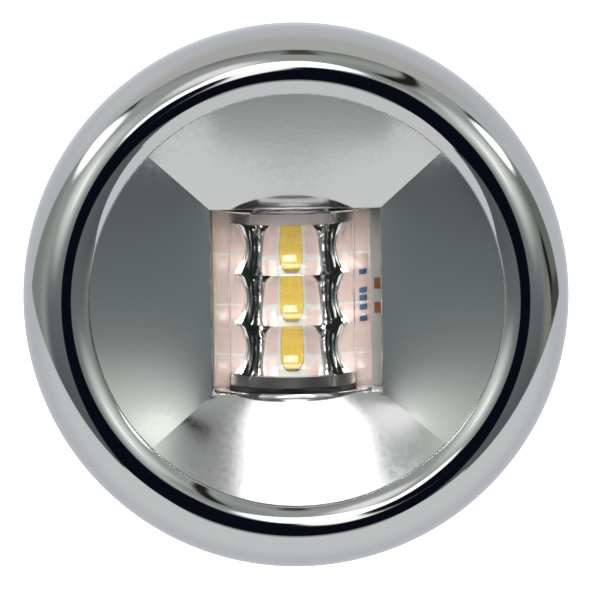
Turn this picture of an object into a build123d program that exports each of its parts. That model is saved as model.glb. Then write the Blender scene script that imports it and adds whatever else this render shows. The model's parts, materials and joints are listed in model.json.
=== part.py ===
from build123d import *
from math import asin, degrees, sqrt
import os

# Round LED transom light. +Z is up and the light faces -Y. The origin is the centre of the
# mounting face, the rear of the gasket that lies on the hull. Every depth below is a height
# in front of that face: positive heights are outside the hull, negative ones inside it.

# ---- driving dimensions, in millimetres ----

# trim ring: a stainless sheet pressing
ring_radius = 38.1
ring_sheet = 1.0
ring_rim_height = 0.4
ring_skirt_height = 3.5
crest_radius = 32.0
crest_height = 10.5
lip_radius = 28.8
lip_height = 8.8
lip_arc_radius = 5.6
lip_fold_radius = 0.4

# housing: flange, barrel and the collar under the reflector rim
gasket_thickness = 1.5
gasket_inner_radius = 29.9
gasket_inset = 0.4
flange_radius = 36.6
flange_top = 4.5
collar_outer_radius = 30.4
collar_inner_radius = 29.0
collar_top = 7.35
throat_height = 4.55
barrel_radius = 28.5
barrel_inner_radius = 26.3
barrel_end = -21.3
seal_seat_radius = 24.4
seal_seat_start = -14.3
grip_rib_clearance = 0.05
grip_rib_width = 4.0
grip_rib_root = 0.5

# fixing holes in the flange
fixing_circle_radius = 33.5
fixing_hole_radius = 1.6
fixing_countersink_radius = 2.9
gasket_hole_radius = 2.2

# window in the floor of the dish
window_width = 23.7
window_tall = 25.8
window_z = -0.6
window_height = 4.8
reflector_wall = 1.6
chimney_wall = 1.4
chimney_end = -1.5
rim_radius = 30.2
dish_rim_radius = 29.4
dish_back_radius = 28.6
rim_top = 8.75

# lens: a cylindrical front about an upright axis, with a hollow of revolution about the same axis
lens_x = -0.5
lens_axis_height = -3.3
lens_front_radius = 12.0
lens_width = 22.0
lens_tall = 25.4
foot_radius = 0.7
foot_spread = 0.8
gasket_margin = 0.3
lens_flange_front = -2.5
lens_flange_back = -3.7
section_tall = 7.05
waist_radius = 4.31
cusp_radius = 5.27
end_pocket_radius = 5.73
end_pocket_tall = 1.65

# boards, pad and heat sink
board_front = -4.4
board_thickness = 1.6
board_width = 34.0
board_tall = 38.0
board_corner = 2.0
pin_hole_radius = 0.5
pin_size = 0.64
pin_reach_front = 0.6
pin_reach_back = 1.2
copper_thickness = 0.1
copper_width = 6.2
copper_tall = 6.7
copper_shift = 5.3
copper_rise = 2.5
led_width = 3.9
led_tall = 4.6
led_height = 0.7
led_corner = 0.3
phosphor_width = 3.4
phosphor_tall = 4.1
phosphor_height = 0.3
phosphor_corner = 1.0
phosphor_edge = 0.24
chip_height = 0.5
capacitor_chip_width = 0.8
capacitor_chip_tall = 1.5
resistor_chip_width = 0.45
resistor_chip_tall = 0.75
pad_thickness = 0.5
pad_width = 22.0
pad_tall = 27.0
sink_plate = 2.5
fin_height = 3.5
fin_thickness = 1.2
fin_pitch = 4.0
fin_count = 5
fin_length = 32.0
fin_middle = -1.5
pin_slot_width = 5.0
pin_slot_tall = 2.2
standoff_radius = 2.2
spigot_radius = 1.5
spigot_length = 2.0
standoff_pilot_depth = 4.0
driver_front = -13.9
driver_radius = 22.5

# parts on the back of the driver board
can_radius = 3.15
can_height = 4.3
can_rounding = 0.5
can_base = 0.9
can_base_width = 6.6
can_base_corner = 0.6
inductor_width = 7.3
inductor_height = 3.8
inductor_corner = 1.2
inductor_chamfer = 0.4
regulator_width = 3.9
regulator_tall = 4.9
regulator_height = 1.5
regulator_gap = 0.15
regulator_chamfer = 0.3
lead_length = 1.1
lead_width = 0.42
lead_height = 0.5
lead_pitch = 1.27
diode_width = 4.3
diode_tall = 3.6
diode_height = 2.2
diode_chamfer = 0.35
resistor_width = 2.0
resistor_tall = 1.25
resistor_height = 0.55
terminal_radius = 0.6
terminal_length = 3.8
terminal_collar_radius = 1.3
terminal_collar = 0.6

# rear cover and cable inlet
cover_radius = 28.1
cover_thickness = 2.5
plug_outer_radius = 24.2
plug_inner_radius = 22.2
plug_depth = 3.5
cover_chamfer = 0.6
groove_clearance = 0.05
groove_side_clearance = 0.1
seal_section_radius = 0.68
seal_centre_radius = 23.7
seal_height = -19.6
inlet_radius = 4.0
grommet_bore_radius = 2.5
grommet_flange_radius = 5.4
grommet_flange = 1.5
grommet_chamfer = 0.5
grommet_clearance = 0.05

# screws: shank radius, head radius and head height, with the clearance in their holes; the cross
# slot is given as parts of the head radius
thread_clearance = 0.05
narrow_clearance = 0.15
pass_clearance = 0.25
wide_clearance = 0.35
small_shank = 1.0
small_head = 1.9
small_head_height = 1.3
cover_shank = 0.8
cover_head = 1.4
cover_head_height = 0.9
cover_screw_length = 7.0
cover_pilot_depth = 6.5
reflector_screw_length = 8.5
board_screw_length = 11.5
driver_screw_length = 4.8
head_recess_clearance = 0.1
slot_length_ratio = 1.3
slot_width_ratio = 0.3

# places, as (x, z) on planes that face the front
ear_circle = 22.6
ear_places = [(ear_circle, 0), (0, ear_circle), (-ear_circle, 0), (0, -ear_circle)]
post_places = [(15.2, 16.4), (-15.2, 16.4), (-15.2, -16.4), (15.2, -16.4)]
standoff_places = [(12.5, 11.0), (-12.5, 11.0), (-12.5, -11.0), (12.5, -11.0)]
pin_level = 17.0
pin_half_pitch = 1.27
pin_places = [(-pin_half_pitch, pin_level), (pin_half_pitch, pin_level)]
led_places = [(lens_x, window_z + section_tall * row) for row in (1, 0, -1)]
capacitor_chip_places = [(11.5, 0.8), (11.5, -2.6)]
resistor_chip_places = [(5.9, level) for level in (2.7, 0.1, -1.0, -2.3, -3.9)]
can_places = [(-9.0, 4.0), (-9.0, -4.0)]
inductor_place = (8.0, 3.5)
regulator_place = (8.0, -5.5)
diode_place = (0, -10.5)
resistor_places = [(0, 3.0), (0, 5.4), (0, 7.8)]
terminal_places = [(-3.5, -17.0), (3.5, -17.0)]
cover_screw_circle = 26.4

# ears of the housing, and the bosses and posts of the reflector
ear_front = -3.0
ear_back = -5.4
ear_shift = 0.7
ear_length = 7.2
ear_width = 7.0
boss_radius = 2.5
boss_top = 6.2
boss_pilot_depth = 7.5
post_radius = 2.1
post_top = 5.0
post_pilot_depth = 8.0

# heights that follow from the stack behind the window
board_back = board_front - board_thickness
sink_front = board_back - pad_thickness
sink_back = sink_front - sink_plate
driver_back = driver_front - board_thickness


def facing(height):
    """Plane that faces the front at a height: its X is +X and its Y is +Z."""
    return Plane.XZ.offset(height)


# Half sections are drawn with X as the radius and Y as the height, and revolved about Axis.Y.
half_section = Plane(origin=(0, 0, 0), x_dir=(1, 0, 0), z_dir=(0, 0, -1))


def dish_sections(margin, floor_height, circle_radius, circle_height):
    """Window rectangle and rim circle, cut at the four creases so that their edges pair up."""
    half_width = window_width / 2 + margin
    half_tall = window_tall / 2 + margin
    with BuildSketch(facing(floor_height)) as floor:
        with BuildLine():
            Polyline(
                (half_width, window_z - half_tall),
                (half_width, window_z + half_tall),
                (-half_width, window_z + half_tall),
                (-half_width, window_z - half_tall),
                close=True,
            )
        make_face()
    with BuildSketch(facing(circle_height)) as rim:
        with BuildLine():
            for quarter in range(4):
                CenterArc((0, 0), circle_radius, -45 + 90 * quarter, 90)
        make_face()
    return [floor.sketch.face(), rim.sketch.face()]


def screw_group(places, seat, shank_radius, shank_length, head_radius, head_height):
    """Pan-head screws driven from behind, with their heads behind the seat."""
    with BuildPart() as screws:
        with BuildSketch(facing(seat)):
            with Locations(*places):
                Circle(shank_radius)
        extrude(amount=shank_length)
        with BuildSketch(facing(seat - head_height)):
            with Locations(*places):
                Circle(head_radius)
        extrude(amount=head_height)
        head_rims = screws.edges().group_by(Axis.Y)[-1]
        fillet(head_rims, head_height / 3)
        with BuildSketch(facing(seat - head_height)):
            with Locations(*places):
                Rectangle(slot_length_ratio * head_radius, slot_width_ratio * head_radius)
                Rectangle(slot_width_ratio * head_radius, slot_length_ratio * head_radius)
        extrude(amount=head_height / 2, mode=Mode.SUBTRACT)
    return screws


def block_group(places, front, width, tall, depth):
    """Equal blocks standing behind the plane at the front height."""
    with BuildPart() as blocks:
        with BuildSketch(facing(front)):
            with Locations(*places):
                Rectangle(width, tall)
        extrude(amount=-depth)
    return blocks


# ---- trim ring ----

ring_inner_radius = ring_radius - ring_sheet
shoulder_width = ring_radius - crest_radius
shoulder_rise = crest_height - ring_skirt_height
lip_width = crest_radius - lip_radius
lip_arc_centre = (crest_radius, crest_height - lip_arc_radius)
fold_height = lip_arc_centre[1] + sqrt(lip_arc_radius**2 - lip_width**2)
inner_arc_radius = lip_arc_radius - ring_sheet
inner_lip_radius = lip_radius + ring_sheet
inner_lip_width = crest_radius - inner_lip_radius
inner_fold_height = lip_arc_centre[1] + sqrt(inner_arc_radius**2 - inner_lip_width**2)
lip_arc_angle = degrees(asin(lip_width / lip_arc_radius))
inner_arc_angle = degrees(asin(inner_lip_width / inner_arc_radius))
with BuildPart() as trim_ring:
    with BuildSketch(half_section) as ring_section:
        with BuildLine():
            Line((ring_inner_radius, ring_rim_height), (ring_radius, ring_rim_height))
            Line((ring_radius, ring_rim_height), (ring_radius, ring_skirt_height))
            EllipticalCenterArc(
                (crest_radius, ring_skirt_height), shoulder_width, shoulder_rise,
                start_angle=0, arc_size=90,
            )
            CenterArc(lip_arc_centre, lip_arc_radius, 90, lip_arc_angle)
            Polyline(
                (lip_radius, fold_height),
                (lip_radius, lip_height),
                (inner_lip_radius, lip_height),
                (inner_lip_radius, inner_fold_height),
            )
            CenterArc(lip_arc_centre, inner_arc_radius, 90, inner_arc_angle)
            EllipticalCenterArc(
                (crest_radius, ring_skirt_height),
                shoulder_width - ring_sheet, shoulder_rise - ring_sheet,
                start_angle=0, arc_size=90,
            )
            Line((ring_inner_radius, ring_skirt_height), (ring_inner_radius, ring_rim_height))
        make_face()
        fold_corner = ring_section.vertices().sort_by_distance((lip_radius, fold_height))[0]
        fillet(fold_corner, lip_fold_radius)
    revolve(axis=Axis.Y)
trim_ring.part.label = "trim_ring"


# ---- mounting gasket and housing ----

flange_depth = flange_top - gasket_thickness
with BuildPart() as mounting_gasket:
    with BuildSketch(facing(0)):
        Circle(flange_radius - gasket_inset)
        Circle(gasket_inner_radius, mode=Mode.SUBTRACT)
        with PolarLocations(fixing_circle_radius, 4, start_angle=45):
            Circle(gasket_hole_radius, mode=Mode.SUBTRACT)
    extrude(amount=gasket_thickness)
mounting_gasket.part.label = "mounting_gasket"

with BuildPart() as housing:
    with BuildSketch(half_section):
        with BuildLine():
            Polyline(
                (barrel_radius, barrel_end),
                (barrel_radius, gasket_thickness),
                (flange_radius, gasket_thickness),
                (flange_radius, flange_top),
                (collar_outer_radius, flange_top),
                (collar_outer_radius, collar_top),
                (collar_inner_radius, collar_top),
                (barrel_inner_radius, throat_height),
                (barrel_inner_radius, seal_seat_start),
                (seal_seat_radius, seal_seat_start),
                (seal_seat_radius, barrel_end),
                close=True,
            )
        make_face()
    revolve(axis=Axis.Y)
    # ribs on the flange's edge that grip the trim ring
    for rib_angle in (0, 90):
        with BuildSketch(facing(gasket_thickness)):
            Circle(ring_inner_radius - grip_rib_clearance)
            Circle(flange_radius - grip_rib_root, mode=Mode.SUBTRACT)
            Rectangle(2 * ring_radius, grip_rib_width, rotation=rib_angle, mode=Mode.INTERSECT)
        extrude(amount=ring_skirt_height - gasket_thickness)
    # ears inside the barrel that carry the reflector
    with BuildSketch(facing(ear_back)):
        with PolarLocations(ear_circle + ear_shift, 4):
            Rectangle(ear_length, ear_width)
        with PolarLocations(ear_circle, 4):
            Circle(small_shank + wide_clearance, mode=Mode.SUBTRACT)
    extrude(amount=ear_front - ear_back)
    # fixing holes, countersunk from the front
    with Locations(facing(flange_top)):
        with PolarLocations(fixing_circle_radius, 4, start_angle=45):
            CounterSinkHole(fixing_hole_radius, fixing_countersink_radius, depth=flange_depth)
    # pilot holes for the cover screws
    with BuildSketch(facing(barrel_end)):
        with PolarLocations(cover_screw_circle, 4, start_angle=45):
            Circle(cover_shank + thread_clearance)
    extrude(amount=cover_pilot_depth, mode=Mode.SUBTRACT)
housing.part.label = "housing"


# ---- reflector ----

floor_back = window_height - reflector_wall
with BuildPart() as reflector:
    loft(dish_sections(chimney_wall, floor_back, dish_back_radius, collar_top), ruled=True)
    with BuildSketch(facing(collar_top)):
        Circle(rim_radius)
    extrude(amount=rim_top - collar_top)
    with BuildSketch(facing(chimney_end)):
        with Locations((0, window_z)):
            Rectangle(window_width + 2 * chimney_wall, window_tall + 2 * chimney_wall)
    extrude(amount=window_height - chimney_end)
    # bosses for the housing ears and posts for the light board
    with BuildSketch(facing(ear_front)):
        with Locations(*ear_places):
            Circle(boss_radius)
    extrude(amount=boss_top - ear_front)
    with BuildSketch(facing(board_front)):
        with Locations(*post_places):
            Circle(post_radius)
    extrude(amount=post_top - board_front)
    # the dish itself, and the window through its floor
    loft(dish_sections(0, window_height, dish_rim_radius, rim_top), ruled=True, mode=Mode.SUBTRACT)
    with BuildSketch(facing(chimney_end)):
        with Locations((0, window_z)):
            Rectangle(window_width, window_tall)
    extrude(amount=rim_top - chimney_end, mode=Mode.SUBTRACT)
    # pilot holes
    with BuildSketch(facing(ear_front)):
        with Locations(*ear_places):
            Circle(small_shank + thread_clearance)
    extrude(amount=boss_pilot_depth, mode=Mode.SUBTRACT)
    with BuildSketch(facing(board_front)):
        with Locations(*post_places):
            Circle(small_shank + thread_clearance)
    extrude(amount=post_pilot_depth, mode=Mode.SUBTRACT)
reflector.part.label = "reflector"

reflector_screws = screw_group(
    ear_places, ear_back, small_shank, reflector_screw_length, small_head, small_head_height,
)
reflector_screws.part.label = "reflector_screws"


# ---- lens and its gasket ----

lens_base_z = window_z - lens_tall / 2
lens_plan = Plane(origin=(lens_x, -lens_axis_height, lens_base_z), x_dir=(1, 0, 0), z_dir=(0, 0, 1))
hollow_section = Plane(origin=(lens_x, -lens_axis_height, window_z), x_dir=(1, 0, 0), z_dir=(0, -1, 0))
hollow_axis = Axis((lens_x, -lens_axis_height, 0), (0, 0, 1))
hollow_half = 1.5 * section_tall
pocket_half = hollow_half + end_pocket_tall

with BuildPart() as lens:
    # block with a cylindrical front
    with BuildSketch(lens_plan):
        Circle(lens_front_radius)
        with Locations((0, -lens_front_radius / 2)):
            Rectangle(lens_width, lens_front_radius, mode=Mode.INTERSECT)
    extrude(amount=lens_tall)
    # rear flange with a foot at each corner
    with BuildSketch(facing(lens_flange_back)):
        with Locations((0, window_z)):
            Rectangle(window_width + 2 * chimney_wall, window_tall + 2 * chimney_wall)
    extrude(amount=lens_flange_front - lens_flange_back)
    with BuildSketch(facing(board_front)):
        with Locations((0, window_z)):
            with GridLocations(window_width + foot_spread, window_tall + foot_spread, 2, 2):
                Circle(foot_radius)
    extrude(amount=lens_flange_back - board_front)
    # hollow of revolution: three waisted sections between two end pockets
    with BuildSketch(hollow_section):
        with BuildLine():
            Line((0, -pocket_half), (end_pocket_radius, -pocket_half))
            Line((end_pocket_radius, -pocket_half), (end_pocket_radius, -hollow_half))
            Line((end_pocket_radius, -hollow_half), (cusp_radius, -hollow_half))
            for row in (-1, 0, 1):
                middle = row * section_tall
                ThreePointArc(
                    (cusp_radius, middle - section_tall / 2),
                    (waist_radius, middle),
                    (cusp_radius, middle + section_tall / 2),
                )
            Line((cusp_radius, hollow_half), (end_pocket_radius, hollow_half))
            Line((end_pocket_radius, hollow_half), (end_pocket_radius, pocket_half))
            Line((end_pocket_radius, pocket_half), (0, pocket_half))
            Line((0, pocket_half), (0, -pocket_half))
        make_face()
    revolve(axis=hollow_axis, mode=Mode.SUBTRACT)
    # the hollow stays open through the flange
    with BuildSketch(facing(lens_axis_height)):
        with Locations((lens_x, window_z)):
            Rectangle(2 * end_pocket_radius, 2 * pocket_half)
    extrude(amount=lens_flange_back - lens_axis_height, mode=Mode.SUBTRACT)
lens.part.label = "lens"

with BuildPart() as lens_gasket:
    with BuildSketch(facing(lens_flange_front)):
        with Locations((0, window_z)):
            Rectangle(window_width + 2 * chimney_wall, window_tall + 2 * chimney_wall)
            Rectangle(window_width + gasket_margin, window_tall + gasket_margin, mode=Mode.SUBTRACT)
    extrude(amount=chimney_end - lens_flange_front)
lens_gasket.part.label = "lens_gasket"


# ---- light board with its diodes ----

with BuildPart() as led_board:
    with BuildSketch(facing(board_front)):
        RectangleRounded(board_width, board_tall, board_corner)
        with Locations(*post_places):
            Circle(small_shank + pass_clearance, mode=Mode.SUBTRACT)
        with Locations(*pin_places):
            Circle(pin_hole_radius, mode=Mode.SUBTRACT)
    extrude(amount=-board_thickness)
led_board.part.label = "led_board"

copper_front = board_front + copper_thickness
copper_levels = [window_z + section_tall * row + copper_rise for row in (1, 0, -1, -2)]
copper_places = [(lens_x + side * copper_shift, level) for level in copper_levels for side in (-1, 1)]
copper_pads = block_group(copper_places, copper_front, copper_width, copper_tall, copper_thickness)
copper_pads.part.label = "copper_pads"

led_front = board_front + led_height
with BuildPart() as led_packages:
    with BuildSketch(facing(board_front)):
        with Locations(*led_places):
            RectangleRounded(led_width, led_tall, led_corner)
    extrude(amount=led_height)
led_packages.part.label = "led_packages"

with BuildPart() as led_phosphors:
    with BuildSketch(facing(led_front)):
        with Locations(*led_places):
            RectangleRounded(phosphor_width, phosphor_tall, phosphor_corner)
    extrude(amount=phosphor_height)
    phosphor_fronts = led_phosphors.faces().filter_by(Axis.Y).group_by(Axis.Y)[0]
    fillet(phosphor_fronts.edges(), phosphor_edge)
led_phosphors.part.label = "led_phosphors"

led_board_capacitors = block_group(
    capacitor_chip_places, board_front + chip_height, capacitor_chip_width, capacitor_chip_tall,
    chip_height,
)
led_board_capacitors.part.label = "led_board_capacitors"

led_board_resistors = block_group(
    resistor_chip_places, copper_front + chip_height, resistor_chip_width, resistor_chip_tall,
    chip_height,
)
led_board_resistors.part.label = "led_board_resistors"


# ---- heat sink behind the light board ----

with BuildPart() as thermal_pad:
    with BuildSketch(facing(board_back)):
        with Locations((0, window_z)):
            Rectangle(pad_width, pad_tall)
    extrude(amount=-pad_thickness)
thermal_pad.part.label = "thermal_pad"

with BuildPart() as heat_sink:
    with BuildSketch(facing(sink_front)):
        RectangleRounded(board_width, board_tall, board_corner)
        with Locations(*post_places):
            Circle(small_shank + pass_clearance, mode=Mode.SUBTRACT)
        with Locations(*standoff_places):
            Circle(spigot_radius + thread_clearance, mode=Mode.SUBTRACT)
        with Locations((0, pin_level)):
            Rectangle(pin_slot_width, pin_slot_tall, mode=Mode.SUBTRACT)
    extrude(amount=-sink_plate)
    with BuildSketch(facing(sink_back)):
        with Locations((0, fin_middle)):
            with GridLocations(fin_pitch, 1, fin_count, 1):
                Rectangle(fin_thickness, fin_length)
    extrude(amount=-fin_height)
heat_sink.part.label = "heat_sink"

led_board_screws = screw_group(
    post_places, sink_back, small_shank, board_screw_length, small_head, small_head_height,
)
led_board_screws.part.label = "led_board_screws"


# ---- driver board behind the heat sink ----

with BuildPart() as board_standoffs:
    with BuildSketch(facing(sink_back)):
        with Locations(*standoff_places):
            RegularPolygon(standoff_radius, 6)
    extrude(amount=driver_front - sink_back)
    with BuildSketch(facing(sink_back)):
        with Locations(*standoff_places):
            Circle(spigot_radius)
    extrude(amount=spigot_length)
    with BuildSketch(facing(driver_front)):
        with Locations(*standoff_places):
            Circle(small_shank + thread_clearance)
    extrude(amount=standoff_pilot_depth, mode=Mode.SUBTRACT)
board_standoffs.part.label = "board_standoffs"

with BuildPart() as driver_board:
    with BuildSketch(facing(driver_front)):
        Circle(driver_radius)
        with Locations(*standoff_places):
            Circle(small_shank + pass_clearance, mode=Mode.SUBTRACT)
        with Locations(*pin_places):
            Circle(pin_hole_radius, mode=Mode.SUBTRACT)
    extrude(amount=-board_thickness)
driver_board.part.label = "driver_board"

driver_board_screws = screw_group(
    standoff_places, driver_back, small_shank, driver_screw_length, small_head, small_head_height,
)
driver_board_screws.part.label = "driver_board_screws"

pin_front = board_front + pin_reach_front
pin_length = pin_front - driver_back + pin_reach_back
board_pins = block_group(pin_places, pin_front, pin_size, pin_size, pin_length)
board_pins.part.label = "board_pins"

with BuildPart() as capacitor_bases:
    with BuildSketch(facing(driver_back)):
        with Locations(*can_places):
            RectangleRounded(can_base_width, can_base_width, can_base_corner)
    extrude(amount=-can_base)
capacitor_bases.part.label = "capacitor_bases"

with BuildPart() as capacitors:
    with BuildSketch(facing(driver_back - can_base)):
        with Locations(*can_places):
            Circle(can_radius)
    extrude(amount=-can_height)
    can_tops = capacitors.faces().filter_by(Axis.Y).group_by(Axis.Y)[-1]
    fillet(can_tops.edges(), can_rounding)
capacitors.part.label = "capacitors"

with BuildPart() as inductor:
    with BuildSketch(facing(driver_back)):
        with Locations(inductor_place):
            RectangleRounded(inductor_width, inductor_width, inductor_corner)
    extrude(amount=-inductor_height)
    chamfer(inductor.faces().sort_by(Axis.Y)[-1].edges(), inductor_chamfer)
inductor.part.label = "inductor"

with BuildPart() as regulator:
    with BuildSketch(facing(driver_back - regulator_gap)):
        with Locations(regulator_place):
            Rectangle(regulator_width, regulator_tall)
    extrude(amount=-regulator_height)
    chamfer(regulator.faces().sort_by(Axis.Y)[-1].edges(), regulator_chamfer)
regulator.part.label = "regulator"

lead_offset = (regulator_width + lead_length) / 2
with BuildPart() as regulator_leads:
    with BuildSketch(facing(driver_back)):
        with Locations(regulator_place):
            with GridLocations(2 * lead_offset, lead_pitch, 2, 4):
                Rectangle(lead_length, lead_width)
    extrude(amount=-lead_height)
regulator_leads.part.label = "regulator_leads"

with BuildPart() as diode:
    with BuildSketch(facing(driver_back)):
        with Locations(diode_place):
            Rectangle(diode_width, diode_tall)
    extrude(amount=-diode_height)
    chamfer(diode.faces().sort_by(Axis.Y)[-1].edges(), diode_chamfer)
diode.part.label = "diode"

resistors = block_group(resistor_places, driver_back, resistor_width, resistor_tall, resistor_height)
resistors.part.label = "resistors"

with BuildPart() as supply_terminals:
    with BuildSketch(facing(driver_back)):
        with Locations(*terminal_places):
            Circle(terminal_collar_radius)
    extrude(amount=-terminal_collar)
    with BuildSketch(facing(driver_back)):
        with Locations(*terminal_places):
            Circle(terminal_radius)
    extrude(amount=-terminal_length)
supply_terminals.part.label = "supply_terminals"


# ---- rear cover, seal and cable inlet ----

cover_back = barrel_end - cover_thickness
groove_floor = seal_centre_radius - seal_section_radius - groove_clearance
groove_half = seal_section_radius + groove_side_clearance
with BuildPart() as rear_cover:
    with BuildSketch(half_section):
        with BuildLine():
            Polyline(
                (inlet_radius, cover_back),
                (cover_radius - cover_chamfer, cover_back),
                (cover_radius, cover_back + cover_chamfer),
                (cover_radius, barrel_end),
                (plug_outer_radius, barrel_end),
                (plug_outer_radius, seal_height - groove_half),
                (groove_floor, seal_height - groove_half),
                (groove_floor, seal_height + groove_half),
                (plug_outer_radius, seal_height + groove_half),
                (plug_outer_radius, barrel_end + plug_depth),
                (plug_inner_radius, barrel_end + plug_depth),
                (plug_inner_radius, barrel_end),
                (inlet_radius, barrel_end),
                close=True,
            )
        make_face()
    revolve(axis=Axis.Y)
    with BuildSketch(facing(cover_back)):
        with PolarLocations(cover_screw_circle, 4, start_angle=45):
            Circle(cover_shank + narrow_clearance)
    extrude(amount=cover_thickness, mode=Mode.SUBTRACT)
    with BuildSketch(facing(cover_back)):
        with PolarLocations(cover_screw_circle, 4, start_angle=45):
            Circle(cover_head + head_recess_clearance)
    extrude(amount=cover_head_height, mode=Mode.SUBTRACT)
rear_cover.part.label = "rear_cover"

with BuildPart() as cover_seal:
    with BuildSketch(half_section):
        with Locations((seal_centre_radius, seal_height)):
            Circle(seal_section_radius)
    revolve(axis=Axis.Y)
cover_seal.part.label = "cover_seal"

cover_screw_places = [
    (location.position.X, location.position.Y)
    for location in PolarLocations(cover_screw_circle, 4, start_angle=45).locations
]
cover_screws = screw_group(
    cover_screw_places, cover_back + cover_head_height, cover_shank, cover_screw_length, cover_head,
    cover_head_height,
)
cover_screws.part.label = "cover_screws"

grommet_neck = inlet_radius - grommet_clearance
with BuildPart() as cable_grommet:
    with BuildSketch(half_section):
        with BuildLine():
            Polyline(
                (grommet_bore_radius, barrel_end + grommet_flange),
                (grommet_bore_radius, cover_back - grommet_flange),
                (grommet_flange_radius - grommet_chamfer, cover_back - grommet_flange),
                (grommet_flange_radius, cover_back - grommet_flange + grommet_chamfer),
                (grommet_flange_radius, cover_back),
                (grommet_neck, cover_back),
                (grommet_neck, barrel_end),
                (grommet_flange_radius, barrel_end),
                (grommet_flange_radius, barrel_end + grommet_flange - grommet_chamfer),
                (grommet_flange_radius - grommet_chamfer, barrel_end + grommet_flange),
                close=True,
            )
        make_face()
    revolve(axis=Axis.Y)
cable_grommet.part.label = "cable_grommet"


# ---- one STEP file for each piece ----

os.makedirs("parts", exist_ok=True)
pieces = [
    trim_ring, mounting_gasket, housing,
    reflector, reflector_screws,
    lens, lens_gasket,
    led_board, copper_pads, led_packages, led_phosphors, led_board_capacitors, led_board_resistors,
    thermal_pad, heat_sink, led_board_screws,
    board_standoffs, driver_board, driver_board_screws, board_pins,
    capacitor_bases, capacitors, inductor, regulator, regulator_leads, diode, resistors, supply_terminals,
    rear_cover, cover_seal, cover_screws, cable_grommet,
]
for piece in pieces:
    export_step(piece.part, f"parts/{piece.part.label}.step")
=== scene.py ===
import json
from math import asin, cos, degrees, hypot, pi, radians, sin, sqrt

import bmesh
import bpy
from mathutils import Matrix, Vector


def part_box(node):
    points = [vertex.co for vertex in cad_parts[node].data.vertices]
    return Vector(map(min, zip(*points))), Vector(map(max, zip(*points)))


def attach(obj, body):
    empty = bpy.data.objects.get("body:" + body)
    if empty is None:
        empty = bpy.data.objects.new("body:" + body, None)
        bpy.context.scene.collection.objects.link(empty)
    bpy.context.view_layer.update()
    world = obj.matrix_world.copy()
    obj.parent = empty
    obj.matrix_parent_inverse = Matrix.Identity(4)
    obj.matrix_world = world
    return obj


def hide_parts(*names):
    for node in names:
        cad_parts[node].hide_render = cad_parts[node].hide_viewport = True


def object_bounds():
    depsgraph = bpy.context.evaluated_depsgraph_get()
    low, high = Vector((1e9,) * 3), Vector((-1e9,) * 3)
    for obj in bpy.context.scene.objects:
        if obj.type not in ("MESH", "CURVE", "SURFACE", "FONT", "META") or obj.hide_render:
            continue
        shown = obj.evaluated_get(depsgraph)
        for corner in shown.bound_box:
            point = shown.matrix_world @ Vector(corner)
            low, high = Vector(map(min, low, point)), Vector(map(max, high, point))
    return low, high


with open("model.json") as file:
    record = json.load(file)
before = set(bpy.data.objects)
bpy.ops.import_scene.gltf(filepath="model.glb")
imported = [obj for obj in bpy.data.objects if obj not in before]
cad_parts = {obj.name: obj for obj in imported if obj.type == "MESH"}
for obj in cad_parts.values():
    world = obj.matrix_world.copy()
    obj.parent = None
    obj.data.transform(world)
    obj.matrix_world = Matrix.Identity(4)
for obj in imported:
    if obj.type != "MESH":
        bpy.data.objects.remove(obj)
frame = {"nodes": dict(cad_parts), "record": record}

# Round LED transom light. The light faces -Y and +Z is up; "height" means distance in front of
# the mounting face, so y = -height. All lengths are in metres.

MM = 0.001
cad_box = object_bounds()

# ---- sizes that the frame gives ----

ring_low, ring_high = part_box("trim_ring")
ring_radius = ring_high.x
crest_height = -ring_low.y
ring_rim_height = -ring_high.y
reflector_low, reflector_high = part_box("reflector")
reflector_rim_radius = reflector_high.x
reflector_rim_top = -reflector_low.y
lens_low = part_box("lens")[0]
gasket_low, gasket_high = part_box("lens_gasket")
board_front_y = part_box("led_board")[0].y

# ---- section of the trim ring ----

ring_sheet = 1.0 * MM
skirt_height = 3.5 * MM
crest_radius = 32.0 * MM
lip_radius = 28.8 * MM
lip_height = 8.8 * MM
lip_arc_radius = 5.6 * MM
lip_fold_radius = 0.4 * MM
ring_rim_round = 0.25 * MM
ring_segments = 288

# ---- dish and window ----

dish_rim_radius = 29.4 * MM
dish_back_radius = 28.6 * MM
dish_back_height = 7.35 * MM
chimney_wall = 1.4 * MM
floor_wall = 1.6 * MM
window_height = 4.8 * MM
dish_flare = 0.1
window_half_width = gasket_high.x - chimney_wall
window_half_tall = (gasket_high.z - gasket_low.z) / 2 - chimney_wall
window_z = (gasket_high.z + gasket_low.z) / 2
chimney_end_y = gasket_low.y
window_edge_radius = 0.18 * MM
rim_edge = 0.1 * MM
window_edge_steps = 5
panel_rows = 48
back_rows = 8

# ---- bosses and posts behind the dish ----

pilot_radius = 1.05 * MM
ear_circle = 22.6 * MM
ear_boss = {"radius": 2.5 * MM, "top": 6.2 * MM, "end": -3.0 * MM, "depth": 7.5 * MM}
post_x = 15.2 * MM
post_z = 16.4 * MM
board_post = {"radius": 2.1 * MM, "top": 5.0 * MM, "end": -board_front_y, "depth": 8.0 * MM}
boss_chamfer = 0.2 * MM
# the end of a pilot hole closes at this share of its radius
closing_share = 0.02

# ---- lens ----

lens_x = -0.5 * MM
lens_front_radius = 12.0 * MM
lens_axis_y = lens_low.y + lens_front_radius
lens_half_width = 11.0 * MM
lens_half_tall = 12.7 * MM
lens_flange_front_y = gasket_high.y
lens_flange_back_y = lens_flange_front_y + 1.2 * MM
section_tall = 7.05 * MM
waist_radius = 4.31 * MM
cusp_radius = 5.27 * MM
pocket_radius = 5.73 * MM
pocket_tall = 1.65 * MM
sections_half = 1.5 * section_tall
lens_edge = 0.12 * MM
flange_overlap = 0.4 * MM
slot_overlap = 1.0 * MM
foot_radius = 0.7 * MM
foot_offset = 0.4 * MM
foot_overlap = 0.2 * MM
# radii at which a turned profile closes, in place of its axis
foot_axis = 0.01 * MM
hollow_axis = 0.02 * MM


# ---- mesh helpers ----

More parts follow.
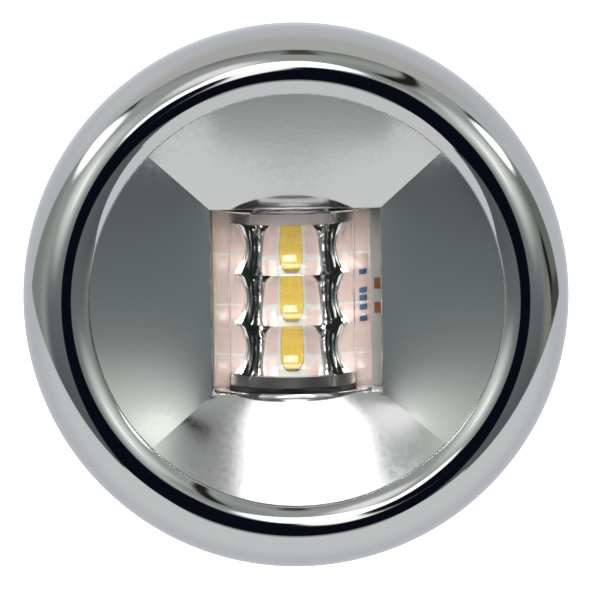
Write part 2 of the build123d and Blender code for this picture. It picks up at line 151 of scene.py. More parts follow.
SHARP_ANGLE = radians(24)


def finish_mesh(name, bm, sharp_angle=SHARP_ANGLE, body="light", creases=()):
    """Turns a bmesh into an object on a body, smooth except at its creases and its sharp edges."""
    bmesh.ops.recalc_face_normals(bm, faces=bm.faces)
    for face in bm.faces:
        face.smooth = True
    for edge in bm.edges:
        edge.smooth = len(edge.link_faces) == 2 and edge.calc_face_angle(0.0) < sharp_angle
    for edge in creases:
        edge.smooth = False
    mesh = bpy.data.meshes.new(name)
    bm.to_mesh(mesh)
    bm.free()
    obj = bpy.data.objects.new(name, mesh)
    bpy.context.scene.collection.objects.link(obj)
    if body:
        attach(obj, body)
    return obj


def skin_loops(bm, loops, closed=False):
    """Joins rings of vertices, each a list of points with the same count, by quads."""
    rows = [[bm.verts.new(point) for point in loop] for loop in loops]
    pairs = list(zip(rows, rows[1:]))
    if closed:
        pairs.append((rows[-1], rows[0]))
    for first, second in pairs:
        for i in range(len(first)):
            j = (i + 1) % len(first)
            bm.faces.new((first[i], first[j], second[j], second[i]))
    return rows


def turned_loops(profile, segments, centre=(0.0, 0.0), phase=0.0):
    """Rings about a line parallel to Y for a profile of (radius, height) points."""
    loops = []
    for radius, height in profile:
        loop = []
        for i in range(segments):
            angle = phase + 2 * pi * i / segments
            loop.append((centre[0] + radius * cos(angle), -height, centre[1] + radius * sin(angle)))
        loops.append(loop)
    return loops


def arc(centre, radius_x, radius_y, start, end, count):
    """Points on an elliptical arc, angles in degrees."""
    return [
        (
            centre[0] + radius_x * cos(radians(start + (end - start) * i / count)),
            centre[1] + radius_y * sin(radians(start + (end - start) * i / count)),
        )
        for i in range(count + 1)
    ]


def line_points(start, end, count):
    """Evenly spaced points from start to end."""
    return [
        tuple(a + (b - a) * i / count for a, b in zip(start, end))
        for i in range(count + 1)
    ]


def tidy_profile(points):
    """Drops points that repeat the one before."""
    kept = []
    for point in points:
        if not kept or hypot(point[0] - kept[-1][0], point[1] - kept[-1][1]) > 1e-7:
            kept.append(point)
    return kept


# ---- trim ring ----


def ring_profile():
    """Closed section of the ring, from its rim over the crest to the lip and back inside."""
    inner_radius = ring_radius - ring_sheet
    shoulder = (ring_radius - crest_radius, crest_height - skirt_height)
    arc_centre = (crest_radius, crest_height - lip_arc_radius)
    fold_angle = degrees(asin((crest_radius - lip_radius) / lip_arc_radius))
    inner_arc = lip_arc_radius - ring_sheet
    inner_lip = lip_radius + ring_sheet
    inner_angle = degrees(asin((crest_radius - inner_lip) / inner_arc))
    # the fold between the inner slope and the lip is rounded
    slope = arc(arc_centre, lip_arc_radius, lip_arc_radius, 90, 90 + fold_angle, 60)
    near_fold = [p for p in slope if p[0] > lip_radius + lip_fold_radius * 0.62]
    fold_start = near_fold[-1]
    fold_end = (lip_radius, fold_start[1] - lip_fold_radius * 1.05)
    corner = (lip_radius + lip_fold_radius * 0.12, fold_start[1] - lip_fold_radius * 0.32)
    fold = [
        tuple(
            (1 - t) ** 2 * a + 2 * t * (1 - t) * b + t * t * c
            for a, b, c in zip(fold_start, corner, fold_end)
        )
        for t in (i / 10 for i in range(1, 11))
    ]
    rim_round = ring_rim_round
    rim_level = ring_rim_height + rim_round
    inner_shoulder = (shoulder[0] - ring_sheet, shoulder[1] - ring_sheet)
    points = [
        (inner_radius, rim_level),
        *arc((inner_radius + rim_round, rim_level), rim_round, rim_round, 180, 270, 4),
        *arc((ring_radius - rim_round, rim_level), rim_round, rim_round, 270, 360, 6),
        *line_points((ring_radius, rim_level), (ring_radius, skirt_height), 4),
        *arc((crest_radius, skirt_height), shoulder[0], shoulder[1], 0, 90, 90),
        *near_fold,
        *fold,
        *line_points(fold_end, (lip_radius, lip_height), 4),
        (inner_lip, lip_height),
        *arc(arc_centre, inner_arc, inner_arc, 90 + inner_angle, 90, 16),
        *arc((crest_radius, skirt_height), *inner_shoulder, 90, 0, 30),
    ]
    return tidy_profile(points)


def make_trim_ring():
    bm = bmesh.new()
    skin_loops(bm, turned_loops(ring_profile(), ring_segments), closed=True)
    obj = finish_mesh("trim_ring_polished", bm, body="ring")
    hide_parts("trim_ring")
    return obj


# ---- reflector ----

PANEL_STEPS = 56


def rectangle_loop(half_width, half_tall, height):
    """Points round the window rectangle, the corners at multiples of PANEL_STEPS."""
    corners = [
        (half_width, -half_tall),
        (half_width, half_tall),
        (-half_width, half_tall),
        (-half_width, -half_tall),
    ]
    loop = []
    for side in range(4):
        start, end = corners[side], corners[(side + 1) % 4]
        for i in range(PANEL_STEPS):
            t = i / PANEL_STEPS
            x = start[0] + (end[0] - start[0]) * t
            z = start[1] + (end[1] - start[1]) * t
            loop.append(Vector((x, -height, window_z + z)))
    return loop


def circle_loop(radius, height):
    """Points round a circle, paired with those of rectangle_loop."""
    loop = []
    for i in range(4 * PANEL_STEPS):
        angle = -pi / 4 + pi / 2 * i / PANEL_STEPS
        loop.append(Vector((radius * cos(angle), -height, radius * sin(angle))))
    return loop


def between(first, second, fraction):
    return [a.lerp(b, fraction) for a, b in zip(first, second)]


def panel_loop(window, rim, fraction):
    """Ring of points across the four panels, which stand a little higher midway than straight ones."""
    loop = between(window, rim, fraction)
    for point, low, high in zip(loop, window, rim):
        point.y += (high.y - low.y) * dish_flare * fraction * (1 - fraction)
    return loop


def make_reflector():
    """Dish of four ruled panels, its rim, its back and the chimney round the lens."""
    chimney_end = rectangle_loop(window_half_width, window_half_tall, -chimney_end_y)
    rim = circle_loop(dish_rim_radius, reflector_rim_top)
    outer_half_width = window_half_width + chimney_wall
    outer_half_tall = window_half_tall + chimney_wall
    back_rim = circle_loop(dish_back_radius, dish_back_height)
    back_window = rectangle_loop(outer_half_width, outer_half_tall, window_height - floor_wall)
    loops = [chimney_end]
    # rounded edge from the chimney into the dish
    for step in range(window_edge_steps + 1):
        turn = pi / 2 * step / window_edge_steps
        shift = window_edge_radius * (1 - cos(turn))
        height = window_height - window_edge_radius * (1 - sin(turn)) + shift / 4
        loops.append(rectangle_loop(window_half_width + shift, window_half_tall + shift, height))
    first = loops[-1]
    loops += [panel_loop(first, rim, row / panel_rows) for row in range(1, panel_rows + 1)]
    loops.append(circle_loop(reflector_rim_radius - rim_edge, reflector_rim_top))
    loops.append(circle_loop(reflector_rim_radius, reflector_rim_top - rim_edge))
    loops.append(circle_loop(reflector_rim_radius, dish_back_height))
    loops += [between(back_rim, back_window, row / back_rows) for row in range(back_rows + 1)]
    loops.append(rectangle_loop(outer_half_width, outer_half_tall, -chimney_end_y))
    bm = bmesh.new()
    rows = skin_loops(bm, loops, closed=True)
    panels = rows[1 + window_edge_steps:2 + window_edge_steps + panel_rows]
    creases = [
        bm.edges.get((inner[i], outer[i]))
        for inner, outer in zip(panels, panels[1:])
        for i in range(0, 4 * PANEL_STEPS, PANEL_STEPS)
    ]
    obj = finish_mesh("reflector_dish", bm, sharp_angle=radians(9), creases=creases)
    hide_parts("reflector")
    return obj


def make_reflector_bosses():
    """Bosses and posts behind the dish, each a tube with a pilot hole."""
    bm = bmesh.new()
    quarters = [pi / 2 * quarter for quarter in range(4)]
    tubes = [((ear_circle * cos(angle), ear_circle * sin(angle)), ear_boss) for angle in quarters]
    tubes += [((side * post_x, up * post_z), board_post) for side in (-1, 1) for up in (-1, 1)]
    for centre, tube in tubes:
        radius, top, end = tube["radius"], tube["top"], tube["end"]
        hole_end = end + tube["depth"]
        profile = [
            (radius, top),
            (radius, end + boss_chamfer),
            (radius - boss_chamfer, end),
            (pilot_radius, end),
            (pilot_radius, hole_end),
            (pilot_radius * closing_share, hole_end),
            (pilot_radius * closing_share, top),
        ]
        skin_loops(bm, turned_loops(profile, 40, centre=centre), closed=True)
    obj = finish_mesh("reflector_bosses", bm)
    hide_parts("reflector")
    return obj


# ---- lens ----


def box_mesh(low, high):
    """Mesh of an upright box between two corners."""
    bm = bmesh.new()
    bmesh.ops.create_cube(bm, size=1.0)
    size = [b - a for a, b in zip(low, high)]
    middle = [(a + b) / 2 for a, b in zip(low, high)]
    place = Matrix.Translation(middle) @ Matrix.Diagonal((*size, 1.0))
    bmesh.ops.transform(bm, matrix=place, verts=bm.verts)
    return bm


def plain_object(name, bm):
    """Turns a bmesh into an object that only takes part in booleans."""
    bmesh.ops.recalc_face_normals(bm, faces=bm.faces)
    mesh = bpy.data.meshes.new(name)
    bm.to_mesh(mesh)
    bm.free()
    obj = bpy.data.objects.new(name, mesh)
    bpy.context.scene.collection.objects.link(obj)
    return obj


def combine(base, tool, operation):
    """Applies an exact boolean to base and removes the tool."""
    modifier = base.modifiers.new("cut", "BOOLEAN")
    modifier.operation = operation
    modifier.solver = "EXACT"
    modifier.object = tool
    graph = bpy.context.evaluated_depsgraph_get()
    result = bpy.data.meshes.new_from_object(base.evaluated_get(graph))
    base.modifiers.clear()
    base.data = result
    bpy.data.objects.remove(tool)


def cap_loops(bm, loops):
    """Joins rings of points and closes both ends."""
    rows = skin_loops(bm, loops)
    bm.faces.new(rows[0])
    bm.faces.new(rows[-1])


def upright_loops(profile, segments, x, y, z):
    """Rings about an upright axis for (radius, level) points."""
    loops = []
    for radius, level in profile:
        loops.append([
            (x + radius * cos(2 * pi * i / segments), y + radius * sin(2 * pi * i / segments), z + level)
            for i in range(segments)
        ])
    return loops


def hollow_profile():
    """Half outline of the hollow: end pocket, three waisted sections, end pocket."""
    end = sections_half + pocket_tall
    sag = cusp_radius - waist_radius
    waist_arc = ((section_tall / 2) ** 2 + sag**2) / (2 * sag)
    steps = 28
    points = [(hollow_axis, -end), (pocket_radius, -end), (pocket_radius, -sections_half)]
    for row in (-1, 0, 1):
        middle = row * section_tall
        for i in range(steps + 1):
            level = (i / steps - 0.5) * section_tall
            points.append((waist_radius + waist_arc - sqrt(waist_arc**2 - level**2), middle + level))
    points += [(pocket_radius, sections_half), (pocket_radius, end), (hollow_axis, end)]
    return tidy_profile(points)


def lens_block():
    """Block with a cylindrical front and softened ends, a little sunk into the flange."""
    back_y = lens_flange_front_y + flange_overlap
    half_angle = degrees(asin(lens_half_width / lens_front_radius))
    front = arc((0, 0), lens_front_radius, lens_front_radius, 90 - half_angle, 90 + half_angle, 120)
    plan = [(lens_half_width, back_y)]
    plan += [(x, lens_axis_y - y) for x, y in front]
    plan.append((-lens_half_width, back_y))
    levels = [
        (-lens_half_tall, lens_edge),
        (-lens_half_tall + lens_edge, 0),
        (lens_half_tall - lens_edge, 0),
        (lens_half_tall, lens_edge),
    ]
    loops = []
    for level, inset in levels:
        shrink = 1 - inset / lens_half_width
        loops.append([
            (lens_x + x * shrink, y + (inset if y < lens_flange_front_y else 0), window_z + level)
            for x, y in plan
        ])
    bm = bmesh.new()
    cap_loops(bm, loops)
    return plain_object("lens_clear", bm)


def lens_flange():
    """Flat flange that the gasket presses on."""
    half_x = gasket_high.x
    half_z = (gasket_high.z - gasket_low.z) / 2
    return plain_object("flange", box_mesh(
        (-half_x, lens_flange_front_y, window_z - half_z),
        (half_x, lens_flange_back_y, window_z + half_z),
    ))


def lens_feet():
    """Four feet that stand on the light board."""
    root = -lens_flange_back_y + foot_overlap
    end = -board_front_y
    foot = [(foot_axis, root), (foot_radius, root), (foot_radius, end), (foot_axis, end)]
    bm = bmesh.new()
    for side in (-1, 1):
        for up in (-1, 1):
            x = side * (window_half_width + foot_offset)
            z = window_z + up * (window_half_tall + foot_offset)
            cap_loops(bm, turned_loops(foot, 24, centre=(x, z)))
    return plain_object("feet", bm)


def lens_hollow():
    """The hollow of revolution behind the front."""
    bm = bmesh.new()
    cap_loops(bm, upright_loops(hollow_profile(), 160, lens_x, lens_axis_y, window_z))
    return plain_object("hollow", bm)


def lens_slot():
    """Opens the hollow towards the diodes."""
    half = sections_half + pocket_tall
    return plain_object("slot", box_mesh(
        (lens_x - pocket_radius, lens_axis_y, window_z - half),
        (lens_x + pocket_radius, lens_flange_back_y + slot_overlap, window_z + half),
    ))


def make_lens():
    """Block, rear flange and feet, less the hollow and its opening at the back."""
    block = lens_block()
    combine(block, lens_flange(), "UNION")
    combine(block, lens_feet(), "UNION")
    combine(block, lens_hollow(), "DIFFERENCE")
    combine(block, lens_slot(), "DIFFERENCE")
    bm = bmesh.new()
    bm.from_mesh(block.data)
    bpy.data.objects.remove(block)
    obj = finish_mesh("lens_clear", bm, sharp_angle=radians(20))
    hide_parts("lens")
    return obj


# ---- node helpers ----


def new_material(name):
    """A new material with its node tree and its Principled shader."""
    material = bpy.data.materials.new(name)
    material.use_nodes = True
    tree = material.node_tree
    return material, tree, tree.nodes["Principled BSDF"]


def add_node(tree, kind, inputs=None, **settings):
    """Adds a node; an input is either a value or a socket to link from."""
    node = tree.nodes.new(kind)
    for key, value in settings.items():
        setattr(node, key, value)
    for key, value in (inputs or {}).items():
        if isinstance(value, bpy.types.NodeSocket):
            tree.links.new(value, node.inputs[key])
        else:
            node.inputs[key].default_value = value
    return node


class Formula:
    """Arithmetic on node sockets, so that masks and the sky's layout read as sums."""

    def __init__(self, tree, socket):
        self.tree = tree
        self.socket = socket

    def apply(self, operation, other=None):
        """Any operation of the Math node."""
        node = self.tree.nodes.new("ShaderNodeMath")
        node.operation = operation
        for index, value in enumerate((self, other)):
            if isinstance(value, Formula):
                self.tree.links.new(value.socket, node.inputs[index])
            elif value is not None:
                node.inputs[index].default_value = value
        return Formula(self.tree, node.outputs[0])

    def __add__(self, other):
        return self.apply("ADD", other)

    def __sub__(self, other):
        return self.apply("SUBTRACT", other)

    def __mul__(self, other):
        return self.apply("MULTIPLY", other)

    def over(self, edge, softness):
        """0 below the edge and 1 above it, with a smooth step."""
        node = self.tree.nodes.new("ShaderNodeMapRange")
        node.interpolation_type = "SMOOTHSTEP"
        self.tree.links.new(self.socket, node.inputs["Value"])
        node.inputs["From Min"].default_value = edge - softness
        node.inputs["From Max"].default_value = edge + softness
        return Formula(self.tree, node.outputs[0])

    def below(self, edge, softness):
        """1 below the edge and 0 above it."""
        return self.over(edge, softness) * -1.0 + 1.0

    def within(self, low, high, softness):
        """1 between two edges and 0 outside them."""
        return self.over(low, softness) * self.below(high, softness)


def noise(tree, scale, detail=4.0, roughness=0.5):
    """Noise in object space; scale counts features in each metre."""
    place = add_node(tree, "ShaderNodeTexCoord")
    return add_node(tree, "ShaderNodeTexNoise", {
        "Vector": place.outputs["Object"], "Scale": scale, "Detail": detail, "Roughness": roughness,
    }).outputs[0]


def spread(tree, value, low, high, from_low=0.3, from_high=0.7):
    """Maps a noise value to a working range."""
    return add_node(tree, "ShaderNodeMapRange", {
        "Value": value, "From Min": from_low, "From Max": from_high, "To Min": low, "To Max": high,
    }).outputs[0]


def colour_mix(tree, factor, first, second):
    """Mixes two colours by a socket."""
    node = add_node(tree, "ShaderNodeMix", {"Factor": factor}, data_type="RGBA")
    node.inputs["A"].default_value = (*first, 1)
    node.inputs["B"].default_value = (*second, 1)
    return node.outputs["Result"]


def bump(tree, shader, height, strength, distance):
    """Roughens the shader's normal by a height socket."""
    settings = {"Height": height, "Strength": strength, "Distance": distance}
    node = add_node(tree, "ShaderNodeBump", settings)
    tree.links.new(node.outputs[0], shader.inputs["Normal"])


# ---- materials ----

polycarbonate_ior = 1.585
frosted_roughness = 0.35
clear_tone = (0.985, 0.985, 0.98)
# painted dark reflection: the near-black tone laid on the wall of the lens's lower end pocket
painted_dark_reflection_tone = (0.006, 0.006, 0.007)
bare_metal = {"rough": (0.2, 0.35), "grain_scale": 2600, "grain_depth": 0.01 * MM, "metallic": 1.0}

# two tones and a range of roughness for each moulded, cast or printed surface
plain_finishes = {
    "seal_rubber": {
        "tones": ((0.018, 0.018, 0.019), (0.03, 0.03, 0.031)),
        "rough": (0.6, 0.8), "grain_scale": 2200, "grain_depth": 0.06 * MM,
    },
    "grommet_rubber": {"tones": ((0.02, 0.02, 0.021), (0.034, 0.034, 0.035)), "rough": (0.5, 0.7)},
    "black_abs": {"tones": ((0.022, 0.023, 0.025), (0.034, 0.035, 0.038)), "rough": (0.38, 0.55)},
    "screw_steel": {"tones": ((0.52, 0.52, 0.53), (0.62, 0.62, 0.63)), **bare_metal},
    "white_board": {"tones": ((0.86, 0.83, 0.8), (0.92, 0.9, 0.88)), "rough": (0.3, 0.45)},
    "bare_copper": {
        "tones": ((0.84, 0.62, 0.55), (0.9, 0.72, 0.66)),
        "rough": (0.3, 0.45), "grain_scale": 2600, "grain_depth": 0.002 * MM, "metallic": 0.2,
    },
    "led_case": {"tones": ((0.82, 0.8, 0.76), (0.9, 0.88, 0.85)), "rough": (0.3, 0.45)},
    "ceramic_chip": {"tones": ((0.42, 0.13, 0.04), (0.5, 0.19, 0.07)), "rough": (0.35, 0.5)},
    "blue_chip": {"tones": ((0.02, 0.12, 0.26), (0.04, 0.18, 0.34)), "rough": (0.3, 0.45)},
    "thermal_silicone": {"tones": ((0.4, 0.45, 0.5), (0.46, 0.5, 0.55)), "rough": (0.6, 0.8)},
    "raw_aluminium": {
        "tones": ((0.6, 0.61, 0.62), (0.7, 0.7, 0.71)),
        "rough": (0.35, 0.5), "grain_scale": 2000, "metallic": 1.0,
    },
    "standoff_brass": {"tones": ((0.62, 0.45, 0.2), (0.7, 0.53, 0.26)), **bare_metal},
    "green_board": {"tones": ((0.02, 0.14, 0.06), (0.03, 0.18, 0.08)), "rough": (0.25, 0.4)},
    "tinned_pin": {"tones": ((0.66, 0.66, 0.65), (0.74, 0.74, 0.73)), **bare_metal, "rough": (0.25, 0.4)},
    "chip_black": {"tones": ((0.02, 0.02, 0.022), (0.035, 0.035, 0.037)), "rough": (0.4, 0.6)},
    "capacitor_can": {"tones": ((0.62, 0.62, 0.64), (0.7, 0.7, 0.72)), **bare_metal},
    "ferrite": {"tones": ((0.04, 0.04, 0.043), (0.06, 0.06, 0.065)), "rough": (0.5, 0.7)},
}


def polished_steel():
    """Mirror-polished stainless: a faint haze, fine marks in the gloss and a slight waviness."""
    material, tree, shader = new_material("polished_steel")
    shader.inputs["Metallic"].default_value = 1.0
    haze = colour_mix(tree, noise(tree, 160, 3), (0.585, 0.585, 0.59), (0.61, 0.61, 0.61))
    tree.links.new(haze, shader.inputs["Base Color"])
    marks = noise(tree, 900, 6, 0.65)
    tree.links.new(spread(tree, marks, 0.015, 0.045), shader.inputs["Roughness"])
    bump(tree, shader, noise(tree, 55, 2), 0.05, 0.1 * MM)
    return material


def metallised():
    """Vacuum-metallised plastic: bright, softly blurred, with a fine orange-peel skin."""
    material, tree, shader = new_material("metallised_abs")
    shader.inputs["Metallic"].default_value = 1.0
    cloud = colour_mix(tree, noise(tree, 120, 3), (0.64, 0.645, 0.645), (0.67, 0.67, 0.67))
    tree.links.new(cloud, shader.inputs["Base Color"])
    grain = noise(tree, 1500, 5, 0.6)
    tree.links.new(spread(tree, grain, 0.09, 0.15), shader.inputs["Roughness"])
    bump(tree, shader, noise(tree, 1100, 3), 0.07, 0.04 * MM)
    return material


def clear_plastic():
    """Clear polycarbonate, frosted on the round walls of the end pockets, with painted darkness on the
    wall of the lower one standing in for its dark internal reflection.
    """
    material, tree, shader = new_material("clear_polycarbonate")
    shader.inputs["Transmission Weight"].default_value = 1.0
    shader.inputs["IOR"].default_value = polycarbonate_ior
    polish = Formula(tree, spread(tree, noise(tree, 1400, 5), 0.0, 0.02, 0.5, 0.8))
    place = add_node(tree, "ShaderNodeTexCoord")
    split = add_node(tree, "ShaderNodeSeparateXYZ", {"Vector": place.outputs["Object"]})
    across = Formula(tree, split.outputs[0]) - lens_x
    along = Formula(tree, split.outputs[1]) - lens_axis_y
    level = Formula(tree, split.outputs[2]) - window_z
    reach = (across * across + along * along).apply("SQRT")
    edge = 0.1 * MM
    wall = reach.below(pocket_radius + edge, edge)
    pocket = wall * level.apply("ABSOLUTE").over(sections_half + edge, edge)
    # wall of the lower end pocket, where a dark internal reflection is painted into the colour
    painted_reflection_pocket = wall * level.below(-sections_half - edge, edge)
    tree.links.new((polish + pocket * frosted_roughness).socket, shader.inputs["Roughness"])
    tint = colour_mix(tree, painted_reflection_pocket.socket, clear_tone, painted_dark_reflection_tone)
    tree.links.new(tint, shader.inputs["Base Color"])
    bump(tree, shader, noise(tree, 260, 1), 0.03, 0.02 * MM)
    return material


def moulded(name, tones, rough, grain_scale=3000, grain_depth=0.03 * MM, metallic=0.0):
    """Moulded or cast surface with fine grain and slight colour variation."""
    material, tree, shader = new_material(name)
    cloud = spread(tree, noise(tree, 90, 4), 0, 1)
    tree.links.new(colour_mix(tree, cloud, *tones), shader.inputs["Base Color"])
    grain = noise(tree, grain_scale, 5, 0.6)
    tree.links.new(spread(tree, grain, *rough), shader.inputs["Roughness"])
    bump(tree, shader, grain, 0.5, grain_depth)
    shader.inputs["Metallic"].default_value = metallic
    return material


def phosphor():
    """Yellow phosphor under a thin silicone skin."""
    material, tree, shader = new_material("phosphor")
    grain = noise(tree, 5200, 5, 0.7)
    yellow = colour_mix(tree, spread(tree, grain, 0, 1), (0.88, 0.56, 0.07), (0.97, 0.68, 0.11))
    tree.links.new(yellow, shader.inputs["Base Color"])
    tree.links.new(spread(tree, grain, 0.18, 0.35), shader.inputs["Roughness"])
    bump(tree, shader, grain, 0.3, 0.02 * MM)
    return material


def paint_nodes():
    """Gives every CAD node the material of its slot."""
    made = {name: moulded(name, **finish) for name, finish in plain_finishes.items()}
    made["phosphor"] = phosphor()
    made["polished_steel"] = polished_steel()
    made["metallised_abs"] = metallised()
    made["clear_polycarbonate"] = clear_plastic()
    for part in frame["record"]["subparts"]:
        node = frame["nodes"][part["node"]]
        node.data.materials.clear()
        node.data.materials.append(made[part["material_slot"]])
    return made


# ---- studio: world, floor, lights and camera ----


def spot(sky, centre, half_size, softness=0.25):
    """1 inside an ellipse of the sky and 0 outside it."""
    side, elevation = sky
    across = (side - centre[0]) * (1 / half_size[0])
    up = (elevation - centre[1]) * (1 / half_size[1])
    reach = (across * across + up * up).apply("SQRT")
    return reach.below(1.0, softness)


def bar(sky, start, end, half_width, softness):
    """1 along a straight bar of the sky between two points."""
    side, elevation = sky
    length = hypot(end[0] - start[0], end[1] - start[1])
    run, rise = (end[0] - start[0]) / length, (end[1] - start[1]) / length
    along = (side - start[0]) * run + (elevation - start[1]) * rise
    across = (elevation - start[1]) * run - (side - start[0]) * rise
    return along.within(0, length, 2.0) * across.within(-half_width, half_width, softness)


def room_layers(sky):
    """The room through the opening of the tent: where each layer shows, and its brightness."""
    side, elevation = sky
    off_middle = side.apply("ABSOLUTE")
    # the camera and the one who holds it
    left_edge = side + 15.0 - elevation * 0.29
    right_edge = side - 11.2 + elevation * 0.12
    figure = left_edge.over(0, 1.5) * right_edge.below(0, 1.2) * elevation.within(-27.5, 9.5, 1.5)
    # gap of light in that figure, narrowing downwards
    notch_half = (elevation + 4.0) * 0.17
    notch = (side + 0.6 + elevation * 0.06).apply("ABSOLUTE") - notch_half
    return [
        # walls: darker overhead, at the sides and towards the floor, with a pale patch low down
        (None, (0.45, 0.48, 0.455)),
        (elevation.over(52, 9), (0.24, 0.25, 0.23)),
        (side.over(58, 10) * elevation.below(24, 8), (0.2, 0.21, 0.18)),
        (side.below(-78, 14) * elevation.below(30, 10), (0.31, 0.34, 0.32)),
        (elevation.below(1, 10) * side.within(-64, 58, 12), (0.185, 0.205, 0.21)),
        (elevation.below(-13, 8) * side.within(-62, 58, 12), (0.135, 0.15, 0.155)),
        (elevation.below(-26.5, 1.5) * off_middle.below(20, 3), (0.42, 0.44, 0.425)),
        # pale patch at the right, with two dark bars beside it
        (spot(sky, (71, -10), (11, 9), 0.3), (0.3, 0.31, 0.26)),
        (bar(sky, (67, 6), (84, -9), 3.5, 2.0), (0.02, 0.02, 0.02)),
        (bar(sky, (80, -8), (104, -5), 4.5, 2.0), (0.09, 0.09, 0.08)),
        # windows with their dark blinds
        (spot(sky, (-69, 42), (12, 6), 0.35), (0.07, 0.07, 0.07)),
        (spot(sky, (66, 35), (10, 4), 0.35), (0.07, 0.07, 0.07)),
        (spot(sky, (-65, 32), (15, 8.5), 0.3), (2.0, 2.05, 1.95)),
        (spot(sky, (60, 27.5), (11, 6.5), 0.3), (2.2, 2.25, 2.2)),
        # two lamps in their soft glow
        (spot(sky, (-38, 14), (14, 11), 0.75), (0.98, 1.03, 0.98)),
        (spot(sky, (31, 14), (14, 11), 0.75), (0.98, 1.03, 0.98)),
        (spot(sky, (-35, 13), (4.5, 4.5), 0.5), (1.35, 1.4, 1.3)),
        (spot(sky, (29, 12), (4.5, 4.5), 0.5), (1.35, 1.4, 1.3)),
        # beam under the ceiling
        (spot(sky, (15, 25), (8, 11), 0.5), (0.36, 0.37, 0.36)),
        (bar(sky, (14, 24), (49, 53), 2.3, 1.3), (0.025, 0.025, 0.02)),
        (bar(sky, (4, 47), (4, 64), 5.5, 3.0), (0.09, 0.09, 0.08)),
        # softbox, brightest at its middle
        (spot(sky, (-14, 31), (9, 8), 0.5), (1.15, 1.15, 1.15)),
        (spot(sky, (-0.5, 19), (9, 8.5), 0.2), (2.5, 2.5, 2.5)),
        (spot(sky, (-11.5, 12.5), (6, 4.5), 0.25), (2.2, 2.2, 2.2)),
        (figure, (0.004, 0.005, 0.012)),
        (notch.below(0, 0.5) * elevation.within(-3, 14, 3), (1.6, 1.6, 1.58)),
    ]


def paper_layers(x, y, z):
    """The paper of the tent: cooler at the sides and behind, warmer overhead."""
    return [
        (None, (0.69, 0.72, 0.755)),
        (z.below(-0.25, 0.3) * y.below(0.1, 0.5), (0.85, 0.86, 0.865)),
        (z.over(0.62, 0.2) * y.below(0.25, 0.25), (0.61, 0.615, 0.59)),
        (x.below(-0.5, 0.3) * z.within(0.5, 0.95, 0.15) * y.over(0.0, 0.3), (0.78, 0.79, 0.8)),
    ]


def tent_opening(x, y, z, off_middle):
    """1 where the tent is open; its lower edge dips in the middle, between two flaps of paper."""
    flaps = off_middle.within(12.5, 23, 1.5) * -0.045
    dip = off_middle.below(12, 1.5) * 0.033
    lower_edge = z - y * 0.346 + 0.198 + dip + flaps
    upper_edge = y + z * 0.862 + x * 0.1
    return lower_edge.over(0, 0.012) * upper_edge.below(0.28, 0.035)


def stack(tree, layers):
    """Lays each tone over those before it, where its mask is 1."""
    colour = add_node(tree, "ShaderNodeRGB").outputs[0]
    colour.default_value = (*layers[0][1], 1)
    for mask, tone in layers[1:]:
        mix = add_node(tree, "ShaderNodeMix", data_type="RGBA")
        tree.links.new(mask.socket, mix.inputs["Factor"])
        tree.links.new(colour, mix.inputs["A"])
        mix.inputs["B"].default_value = (*tone, 1)
        colour = mix.outputs["Result"]
    return colour


def studio_world():
    """Paper tent round the light, open towards the room behind the camera.

    Directions are given in degrees: side 0 and elevation 0 point along -Y, towards the camera."""
    world = bpy.data.worlds.new("studio")
    bpy.context.scene.world = world
    world.use_nodes = True
    tree = world.node_tree
    tree.nodes.clear()
    place = add_node(tree, "ShaderNodeTexCoord")
    split = add_node(tree, "ShaderNodeSeparateXYZ", {"Vector": place.outputs["Generated"]})
    x, y, z = (Formula(tree, split.outputs[axis]) for axis in range(3))
    elevation = z.apply("ARCSINE") * degrees(1)
    side = x.apply("ARCTAN2", y * -1.0) * degrees(1)
    opening = tent_opening(x, y, z, side.apply("ABSOLUTE"))
    merge = add_node(tree, "ShaderNodeMix", data_type="RGBA")
    tree.links.new(opening.socket, merge.inputs["Factor"])
    tree.links.new(stack(tree, paper_layers(x, y, z)), merge.inputs["A"])
    tree.links.new(stack(tree, room_layers((side, elevation))), merge.inputs["B"])
    studio = add_node(tree, "ShaderNodeBackground", {"Color": merge.outputs["Result"], "Strength": 1.0})
    backdrop = add_node(tree, "ShaderNodeBackground", {"Color": (1, 1, 1, 1), "Strength": 1.0})
    ray = add_node(tree, "ShaderNodeLightPath")
    choose = add_node(tree, "ShaderNodeMixShader", {0: ray.outputs["Is Camera Ray"]})
    tree.links.new(studio.outputs[0], choose.inputs[1])
    tree.links.new(backdrop.outputs[0], choose.inputs[2])
    output = add_node(tree, "ShaderNodeOutputWorld")
    tree.links.new(choose.outputs[0], output.inputs[0])


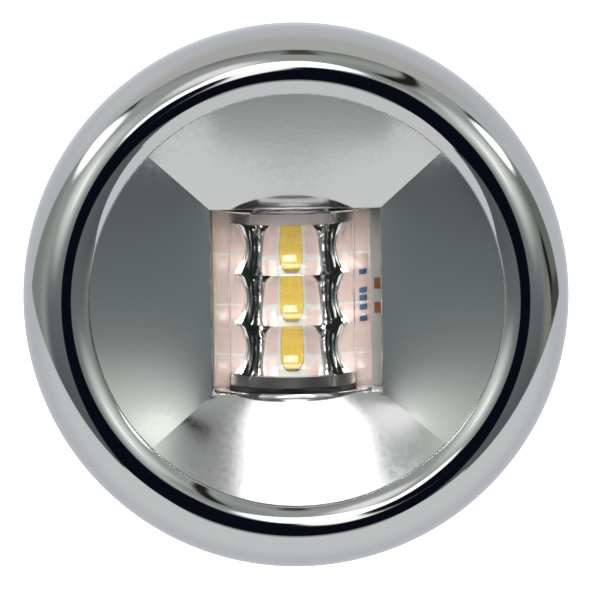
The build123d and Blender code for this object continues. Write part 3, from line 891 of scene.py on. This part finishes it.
def studio_floor():
    """Pale floor under the light, out of its reflections."""
    half_size = 3.0
    drop = 25 * MM
    bm = bmesh.new()
    bmesh.ops.create_grid(bm, x_segments=1, y_segments=1, size=half_size)
    floor = finish_mesh("floor", bm, body=None)
    floor.location.z = cad_box[0].z - drop
    floor.visible_glossy = False
    floor.visible_transmission = False
    material, tree, shader = new_material("floor_paper")
    shader.inputs["Base Color"].default_value = (0.93, 0.93, 0.93, 1)
    shader.inputs["Roughness"].default_value = 0.9
    shader.inputs["Emission Color"].default_value = (1, 1, 1, 1)
    shader.inputs["Emission Strength"].default_value = 0.55
    floor.data.materials.append(material)


def area_light(name, place, size, power):
    """Soft rectangular light aimed at the origin, unseen by the camera and by reflections."""
    data = bpy.data.lights.new(name, "AREA")
    data.shape = "RECTANGLE"
    data.size, data.size_y = size
    data.energy = power
    light = bpy.data.objects.new(name, data)
    light.location = place
    light.rotation_euler = (-Vector(place)).to_track_quat("-Z", "Y").to_euler()
    light.visible_camera = False
    light.visible_glossy = False
    bpy.context.scene.collection.objects.link(light)


def place_camera():
    """Long lens, nearly square to the light: a little above it and a hair to its left."""
    elevation, turn, roll = radians(6.5), radians(-1.0), radians(-0.8)
    distance = 1.35
    frame_width = 82.4 * MM
    # the outline's widest circle sits just in front of the hull
    widest_height = 3.0 * MM
    data = bpy.data.cameras.new("camera")
    data.sensor_width = 36.0
    data.lens = data.sensor_width * distance / frame_width
    # in widths of the frame
    data.shift_x = -0.00178
    data.shift_y = 0.00085
    data.clip_start, data.clip_end = 0.01, 20
    camera = bpy.data.objects.new("camera", data)
    bpy.context.scene.collection.objects.link(camera)
    back = Vector((sin(turn) * cos(elevation), -cos(turn) * cos(elevation), sin(elevation)))
    camera.location = Vector((0, -widest_height, 0)) + back * distance
    facing = (-back).to_track_quat("-Z", "Y").to_matrix().to_4x4()
    camera.matrix_world = Matrix.Translation(camera.location) @ facing @ Matrix.Rotation(roll, 4, "Z")
    bpy.context.scene.camera = camera


materials = paint_nodes()
ring = make_trim_ring()
ring.data.materials.append(materials["polished_steel"])
dish = make_reflector()
dish.data.materials.append(materials["metallised_abs"])
bosses = make_reflector_bosses()
bosses.data.materials.append(materials["metallised_abs"])
lens = make_lens()
lens.data.materials.append(materials["clear_polycarbonate"])

place_camera()
studio_world()
studio_floor()
area_light("overhead", (0, -0.3, 0.9), (0.8, 0.8), 12)
area_light("front", (-0.1, -1.0, 0.45), (0.7, 0.5), 15)
bpy.context.scene.view_settings.view_transform = "Standard"
